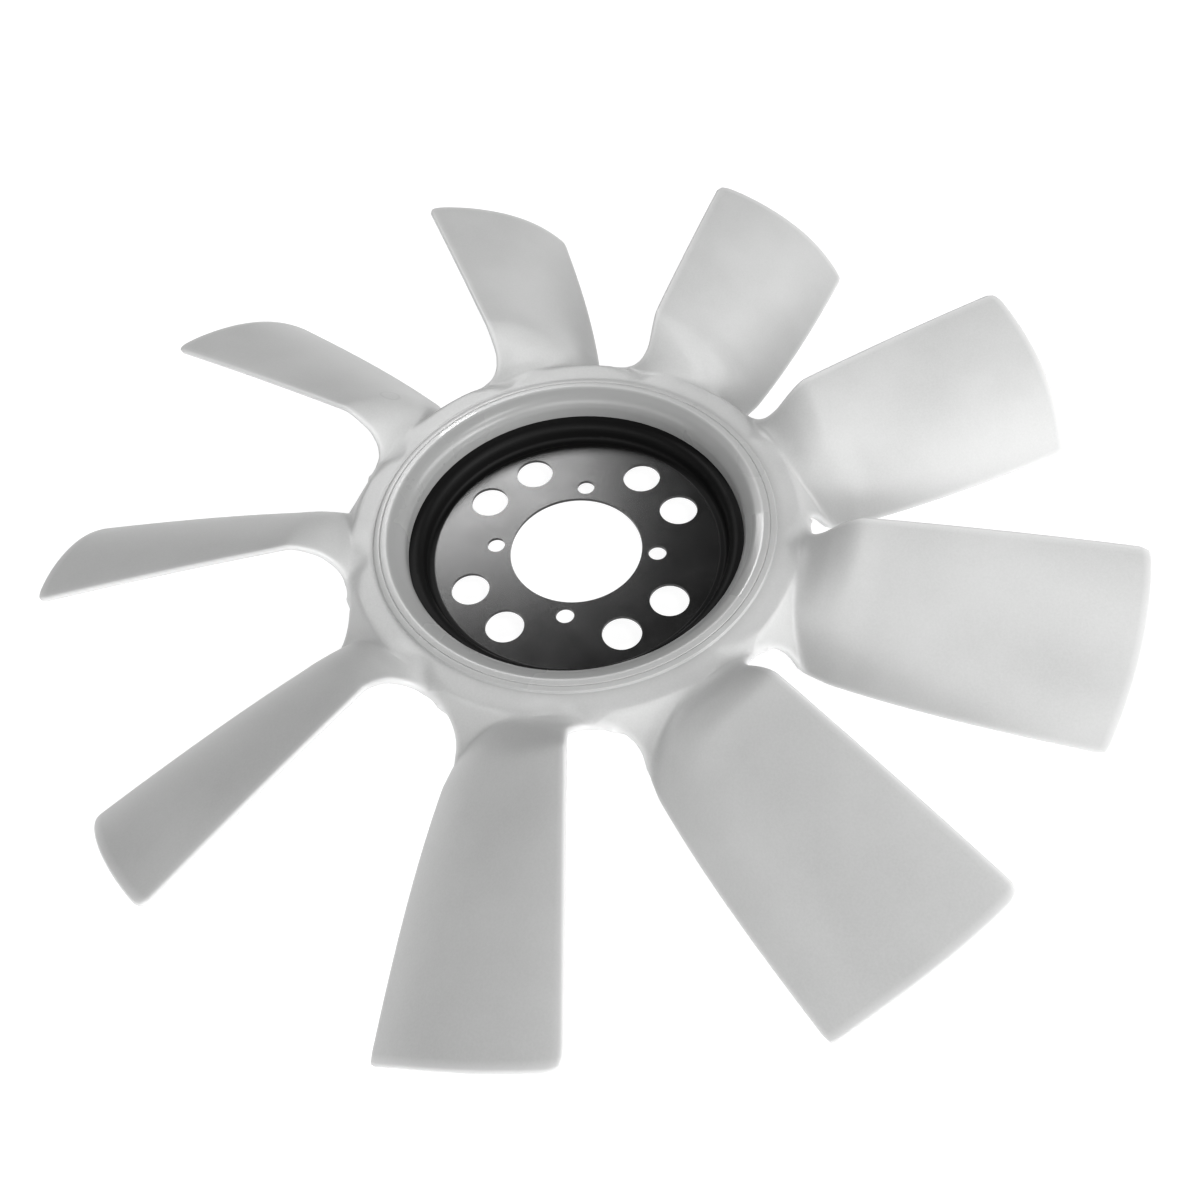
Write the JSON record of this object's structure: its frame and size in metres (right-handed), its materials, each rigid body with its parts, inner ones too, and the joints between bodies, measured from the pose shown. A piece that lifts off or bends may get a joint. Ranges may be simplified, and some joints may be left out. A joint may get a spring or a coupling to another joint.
{
  "type": "axial fan impeller",
  "caption": "Moulded axial fan impeller with twisted, cambered blades on a hub ring cast round a recessed steel bolt-on hub plate.",
  "frame": {"origin": "centre of the hub plate's bore, on the mounting face inside the recess", "axes": "+Z out of the recess along the axis of rotation, towards the air inlet; +X and +Y each through one bolt hole"},
  "size_m": [0.6031, 0.6005, 0.0606],
  "materials": {
    "nylon": "satin",
    "coated_steel": "satin"
  },
  "bodies": {
    "root": {"fan_moulding": "nylon", "hub_plate": "coated_steel"}
  },
  "joints": []
}
